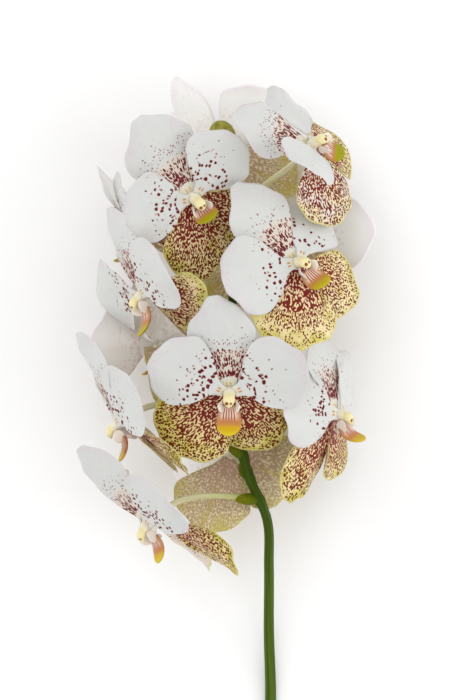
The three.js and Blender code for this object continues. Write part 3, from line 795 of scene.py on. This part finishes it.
# %% [markdown]
# ## Lip
# The lip is the landing place for a pollinator: a small stiff tongue below the column, with a thin
# flared ear on each side and a short spur behind. The tongue is a stack of oval rings along a line
# that arches forward. Three keels run down its upper side.

# %% The tongue and its keels
TONGUE = [(3.4, 1.5), (4.8, 1.5), (5.5, 1.3), (5.6, 1.0), (4.7, 0.8), (2.2, 0.5)]  # half sizes
LIP = dict(length=14, drop=-5.3, forward=1.2, steepest=50, arch=80, rolled=0.03)
LIP_ROUND, LIP_STEPS = 36, 26
TIP_FROM = 0.86  # share of the tongue where its rounded tip begins


def tongue_points(angle, long=1.0):
    shares = np.linspace(0, 1, LIP_STEPS + 1)
    stations = smooth_through([(i / 5, *wd) for i, wd in enumerate(TONGUE)])
    half_width, half_depth = (np.interp(shares, stations[:, 0], stations[:, k]) for k in (1, 2))
    near_tip = np.clip((shares - TIP_FROM) / (1 - TIP_FROM), 0, 1)
    closing = np.sqrt(np.clip(1 - near_tip ** 2, 0.0004, 1))
    turns = around(LIP_ROUND)
    place = np.array([0, LIP["drop"], LIP["forward"]])
    rings, fans = [], []
    for share, wide, deep, close in zip(shares, half_width, half_depth, closing):
        slope = math.radians(angle + LIP["steepest"] - LIP["arch"] * share)
        up = np.array([0, math.cos(slope), math.sin(slope)])
        x = wide * close * np.cos(turns)
        keels = 0.35 * np.exp(-((np.abs(x) - 1.5) / 0.5) ** 2) + 0.25 * np.exp(-(x / 0.4) ** 2)
        lifted = deep * close * np.sin(turns) + LIP["rolled"] * x * x * share
        lifted += keels * (np.sin(turns) > 0) * math.sin(math.pi * min(share * 1.3, 1))
        rings.append(place + up * lifted[:, None] + np.stack([x, 0 * x, 0 * x], -1))
        above = np.clip(np.sin(turns) * 2 + 0.6, 0, 1)
        fans.append(np.stack([np.cos(turns), share + 0 * x, above], -1))
        step = LIP["length"] * long / LIP_STEPS
        place = place + np.array([0, -math.sin(slope), math.cos(slope)]) * step
    return *tube(rings, flip=True), np.concatenate(fans)


# %% Ears and spur
def ellipsoid(radii, rows=14, columns=20):
    tilt, turn = np.linspace(-math.pi / 2, math.pi / 2, rows)[:, None], around(columns)
    r = np.maximum(np.cos(tilt), 0.01)
    points, faces = tube(np.stack([r * np.cos(turn), r * np.sin(turn),
                                   np.sin(tilt) + 0 * turn], -1))
    return points * np.array(radii), faces


EAR = dict(radii=(0.55, 3.1, 2.9), place=(3.2, 0.4, 1.6), flare=0.45, fold=0.09, wave=0.15)
SPUR = dict(radii=(1.5, 1.5, 3.0), place=(0, -1.6, -1.2), lean=-30)
ROOT = np.array([0, LIP["drop"], LIP["forward"]])
for bloom in BLOOMS:
    points, faces, fans = tongue_points(**bloom["lip"])
    bloom_piece(bloom, "lip_tongue", points, faces, LIP_TISSUE, "lip", bloom_mm=points, fan=fans,
                tones=np.tile(tones_of(bloom), (len(points), 1)))
    for side, word in ((-1, "left"), (1, "right")):
        points, faces = ellipsoid(EAR["radii"])
        _, y, z = points.T
        flare = EAR["flare"] * (z / EAR["radii"][2] + 1) ** 2 - EAR["fold"] * y ** 2
        points[:, 0] += side * (flare + EAR["wave"] * np.sin(2.2 * y))
        points += ROOT + np.array(EAR["place"]) * (side, 1, 1)
        bloom_piece(bloom, f"lip_lobe_{word}", points, faces, LOBE_WAX, "lip", bloom_mm=points)
    points, faces = ellipsoid(SPUR["radii"])
    lean = np.array(Matrix.Rotation(math.radians(SPUR["lean"]), 3, "X"))
    points = points @ lean.T + ROOT + SPUR["place"]
    bloom_piece(bloom, "lip_spur", points, faces, LOBE_WAX, "lip", bloom_mm=points)
print("lips:", len(BLOOMS))

# %% [markdown]
# ## Stem and stalks
# The stem is a rod that swells a little wherever a stalk leaves it. A rod is swept along a line:
# at each step a ring of points stands square to it, and the ring is carried on without twisting.

# %% The stem's line, as a smooth curve through its points
STEM_LINE = [(20.5, -163, 2.4), (21.5, -130, 2.4), (20.6, -99, 10), (20.4, -66, 29),
             (19.4, -44, 41), (10.5, -22, 49), (5, 6, 51), (3, 44, 51), (5, 76, 51),
             (6.5, 100, 51), (5, 114, 51), (1.8, 123.5, 51)]


def even_curve(stations, per_span=30):
    """A centripetal Catmull-Rom curve, which doesn't overshoot where the points lie close."""
    p = np.array(stations, float)
    p = np.vstack([2 * p[0] - p[1], p, 2 * p[-1] - p[-2]])
    spans = []
    for a, b, c, d in zip(p, p[1:], p[2:], p[3:]):
        t1, t2, t3 = np.cumsum([np.linalg.norm(v - u) ** 0.5 for u, v in ((a, b), (b, c), (c, d))])
        t = np.linspace(t1, t2, per_span, endpoint=False)[:, None]

        def blend(u, v, low, high):
            return ((high - t) * u + (t - low) * v) / (high - low)

        ab, bc, cd = blend(a, b, 0, t1), blend(b, c, t1, t2), blend(c, d, t2, t3)
        spans.append(blend(blend(ab, bc, 0, t2), blend(bc, cd, t1, t3), t1, t2))
    return np.vstack([*spans, p[-2:-1]])


STEM_CURVE = even_curve(STEM_LINE)


def on_stem(y):
    """The place on the stem's middle line at a height along Y."""
    rising = STEM_CURVE[:np.argmax(STEM_CURVE[:, 1]) + 1]
    return np.array([np.interp(y, rising[:, 1], rising[:, k]) for k in range(3)])


def unit(vector):
    return vector / np.linalg.norm(vector)


# %% Sweep a rod along a line
def ridged(radii, ridges, height, sides):
    """Radii for each side of each ring, with so many ridges round, of a height as a share."""
    return radii[:, None] * (1 + height * np.cos(ridges * around(sides)))


def round_fan(ways, sides):
    """The attribute of a round skin: the turn's cosine, the way along, the turn's sine."""
    turn, way = np.broadcast_arrays(around(sides), np.reshape(ways, (-1, 1)))
    return np.stack([np.cos(turn), way, np.sin(turn)], -1).reshape(-1, 3)


def rod(line, radii):
    """Points and faces of a rod, with the attribute for its material."""
    sides = radii.shape[1]
    ahead = np.gradient(line, axis=0)
    side = np.cross(unit(ahead[0]), (0.0, 0.0, 1.0) if abs(unit(ahead[0])[2]) < 0.9
                    else (1.0, 0.0, 0.0))
    cos, sin = np.cos(around(sides))[:, None], np.sin(around(sides))[:, None]
    rings = []
    for centre, way_on, spread in zip(line, ahead, radii):
        way_on = unit(way_on)
        side = unit(side - way_on * side.dot(way_on))
        rings.append(centre + spread[:, None] * (cos * side + sin * np.cross(way_on, side)))
    return *tube(rings), round_fan(np.linspace(0, 1, len(line)), sides)


# %% The line of a stalk, from the back of a bloom's cup to the stem
CUP_BACK, GAP = -7.5, 0.3  # mm behind the bloom's middle, and between a stalk and its neighbours
LEAVES, LANDS, RISE = 0.45, 0.3, 0.15  # the curve's handles, as shares of the stalk's span


def stalk_line(bloom, steps=40):
    turn, at = axes_of(bloom)
    start = at + turn @ np.array([0, 0, CUP_BACK - GAP])
    foot = on_stem(bloom["stalk"])
    span = np.linalg.norm(start - foot)
    first = start + turn @ np.array([0, 0, -LEAVES * span])
    second = foot + LANDS * (start - foot) + np.array([0, bloom.get("rise", RISE) * span, 0])
    t = np.linspace(0, 1, steps + 1)[:, None]
    return ((1 - t) ** 3 * start + 3 * (1 - t) ** 2 * t * first + 3 * (1 - t) * t ** 2 * second
            + t ** 3 * foot)


# %% Stalks, thicker at both ends
STALK = 1.5  # mm, its radius
for bloom in BLOOMS:
    line = stalk_line(bloom)
    share = np.linspace(0, 1, len(line))
    radii = STALK * (0.92 + 0.18 * np.exp(-(share / 0.06) ** 2) + 0.3 * np.clip(share - 0.85, 0, 1))
    points, faces, fans = rod(line, ridged(radii, 6, 0.035, 24))
    make_piece(f"{bloom['name']}_stalk_skin", points, faces, STALK_SKIN, f"{bloom['name']}_stalk",
               "pedicel", fan=fans)
print("stalks:", len(BLOOMS))

# %% The stem with its swellings
STEM_BASE, STEM_TIP = 2.75, 1.5  # mm, its radius at the cut end and at the tip
SWELLING = dict(height=0.45, reach=3.0)  # mm, where a stalk leaves it
line = evenly(STEM_CURVE, np.linspace(0, 1, 260))
radii = np.linspace(STEM_BASE, STEM_TIP, len(line))
for bloom in BLOOMS:
    away = np.linalg.norm(line - on_stem(bloom["stalk"] - 1), axis=1)
    radii = radii + SWELLING["height"] * np.exp(-(away / SWELLING["reach"]) ** 2)
points, faces, fans = rod(line, ridged(radii, 5, 0.02, 40))
make_piece("stem_skin", points, faces, STEM_SKIN, "stem", "stem", fan=fans)
print("stem length", round(float(np.linalg.norm(np.diff(line, axis=0), axis=1).sum())), "mm")

# %% [markdown]
# ## Bracts and bud
# Below each stalk a small plump scale, the bract, still clasps the stem: a scoop whose upper side
# is pressed hollow by the stalk that lies in it. The last flower at the tip is a closed bud with
# three furrows, where its outer sepals meet.

# %% Bracts
BRACT = dict(length=11, width=6.8, thickness=6.0, below=0.7, hollow=0.8, hollow_width=1.6)
t, turn = np.linspace(0, 1, 18)[:, None], around(24)
belly = np.sqrt(np.clip(1 - (2 * t - 1) ** 2, 0.0004, 1)) * (1.12 - 0.24 * t)
wide, thick = (BRACT["width"] / 2 * belly * np.cos(turn),
               BRACT["thickness"] / 2 * belly * np.sin(turn))
hollow = BRACT["hollow"] * np.exp(-(wide / BRACT["hollow_width"]) ** 2)
hollow = hollow * np.clip(np.sin(turn), 0, 1) * np.sin(math.pi * t)
for bloom in BLOOMS:
    foot_line = stalk_line(bloom)
    away = unit(foot_line[-2] - foot_line[-1])
    sideways = np.cross((0.0, 1.0, 0.0), away)
    place = foot_line[-1] - np.array([0, BRACT["below"] / np.linalg.norm(sideways), 0])
    sideways = unit(sideways)
    points, faces = tube(place + (t * BRACT["length"] + 0 * wide)[..., None] * away
                         + wide[..., None] * sideways
                         + (thick - hollow)[..., None] * np.cross(sideways, away))
    make_piece(f"{bloom['name']}_bract", points, faces, BRACT_SKIN, "stem", "stem",
               fan=round_fan(t, 24))

# %% Bud
BUD = dict(length=17, radius=6.2, furrow=0.14, sides=48)
tip, ahead = STEM_CURVE[-1], unit(STEM_CURVE[-1] - STEM_CURVE[-2])
sideways = unit(np.cross((0.0, 0.0, 1.0), ahead))
above = np.cross(ahead, sideways)
stations = smooth_through([(0, 0.25), (0.12, 0.62), (0.35, 1), (0.7, 0.97), (0.92, 0.6),
                           (1, 0.1)], 8)
turn = around(BUD["sides"])[:, None]
furrow = 1 - BUD["furrow"] * np.abs(np.cos(1.5 * turn)) ** 6
points, faces = tube([
    tip + ahead * (GAP + along * BUD["length"])
    + BUD["radius"] * wide * furrow * (np.cos(turn) * sideways + np.sin(turn) * above)
    for along, wide in stations])
make_piece("bud_skin", points, faces, BUD_SKIN, "bud", "bud",
           fan=round_fan(stations[:, 0], BUD["sides"]))
print("bracts:", len(BLOOMS), "bud points:", len(points))

# %% [markdown]
# ## Table, light and camera
# The table is plain and pale. Blooms like these are photographed in soft light from all round,
# with one large lamp a little to the left, so that the folds still cast a faint shade. The camera
# looks straight down from a metre and a half above the blooms, as the photograph does.

# %% Table
HALF_TABLE = 4.0  # m
table_mesh = bpy.data.meshes.new("table")
table_mesh.from_pydata([(HALF_TABLE * x, HALF_TABLE * y, 0)
                        for x, y in ((-1, -1), (1, -1), (1, 1), (-1, 1))], [], [(0, 1, 2, 3)])
table = bpy.data.objects.new("table", table_mesh)
bpy.context.scene.collection.objects.link(table)
paint = bpy.data.materials.new("matt white table lacquer")
paint.use_nodes = True
lacquer = paint.node_tree.nodes["Principled BSDF"]
lacquer.inputs["Base Color"].default_value = linear("#fbfbfb")
lacquer.inputs["Roughness"].default_value = 0.8
table_mesh.materials.append(paint)

# %% Light
LAMPS = {  # place in m, width in m, power in W
    "key": ((-0.6, 0.7, 1.7), 1.4, 7.5), "fill": ((1.0, -0.6, 1.5), 1.6, 5),
    "left side": ((-1.3, 0.1, 0.45), 0.9, 2.8), "right side": ((1.3, 0.1, 0.45), 0.9, 5),
}
AIM = Vector((0, 0.03, 0.05))  # m, where all lamps look
world = bpy.data.worlds.new("studio")
bpy.context.scene.world = world
world.use_nodes = True
sky = world.node_tree.nodes["Background"]
sky.inputs["Color"].default_value = linear("#ffffff")
sky.inputs["Strength"].default_value = 0.8
for name, (place, width, power) in LAMPS.items():
    lamp = bpy.data.lights.new(name, "AREA")
    lamp.size = width
    lamp.energy = power
    holder = bpy.data.objects.new(name, lamp)
    holder.location = place
    holder.rotation_euler = (AIM - Vector(place)).to_track_quat("-Z", "Y").to_euler()
    bpy.context.scene.collection.objects.link(holder)
print("lamps:", list(LAMPS))

# %% Camera
CAMERA = dict(above=1500, plane=51, centre=(3.68, 34.5), seen=322)  # mm
camera = bpy.data.cameras.new("camera")
camera.sensor_width = 36
camera.lens = camera.sensor_width * CAMERA["above"] / CAMERA["seen"]
holder = bpy.data.objects.new("camera", camera)
holder.location = (CAMERA["centre"][0] * MM, CAMERA["centre"][1] * MM,
                   (CAMERA["above"] + CAMERA["plane"]) * MM)
bpy.context.scene.collection.objects.link(holder)
bpy.context.scene.camera = holder
bpy.context.scene.view_settings.view_transform = "Standard"
